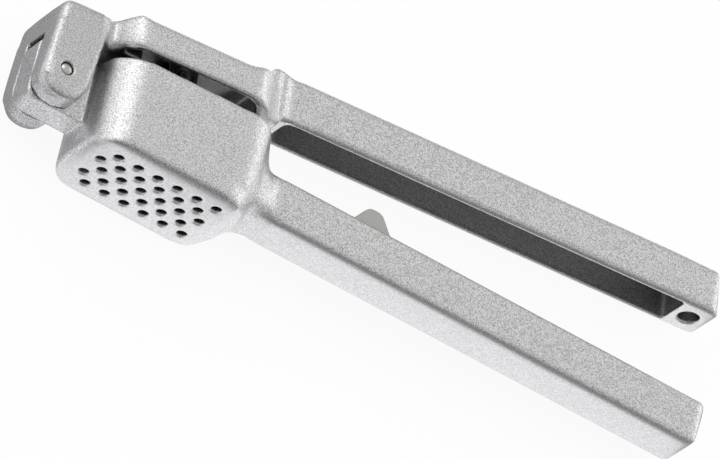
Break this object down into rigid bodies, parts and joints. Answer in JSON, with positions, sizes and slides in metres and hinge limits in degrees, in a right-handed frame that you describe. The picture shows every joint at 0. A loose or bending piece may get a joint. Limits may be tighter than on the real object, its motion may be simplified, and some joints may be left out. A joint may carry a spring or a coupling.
{
  "type": "garlic press",
  "caption": "Die-cast garlic press lying on its side: perforated hopper arm, hinged lever arm with lid and swinging press foot, cross pins and a stored cleaning comb.",
  "frame": {"origin": "on the surface it lies on, below the middle of the rest pose's bounding box", "axes": "+X from the hinge to the handle ends, +Y in the pressing direction from the perforated face to the upper arm, +Z along the pivot pin, up from the side that it lies on"},
  "size_m": [0.1756, 0.0506, 0.0255],
  "materials": {
    "casting": "fine pebbled satin metallic coat",
    "pin": "polished domed ends",
    "comb": "smooth grey-beige moulded plastic"
  },
  "bodies": {
    "chamber": {"chamber_arm": "casting"},
    "lever": {"lever_arm": "casting", "pivot_pin": "pin"},
    "foot": {"press_foot": "casting", "press_foot_pin": "pin"},
    "comb": {"cleaning_comb": "comb"}
  },
  "joints": [
    {"name": "arm_hinge", "type": "hinge", "parent": "chamber", "child": "lever", "pos_m": [-0.08248, -0.01247, 0.01275], "axis": [0, 0, 1], "range_deg": [-3.5, 150]},
    {"name": "foot_swing", "type": "hinge", "parent": "lever", "child": "foot", "pos_m": [-0.05359, 0.00284, 0.01275], "axis": [0, 0, 1], "range_deg": [-0.3, 12]},
    {"name": "comb_lift", "type": "slide", "parent": "chamber", "child": "comb", "axis": [0, 1, 0], "range_m": [0, 0.01]}
  ],
  "couplings": [
    {"joint": "foot_swing", "follows": "arm_hinge", "ratio": 0.08}
  ]
}
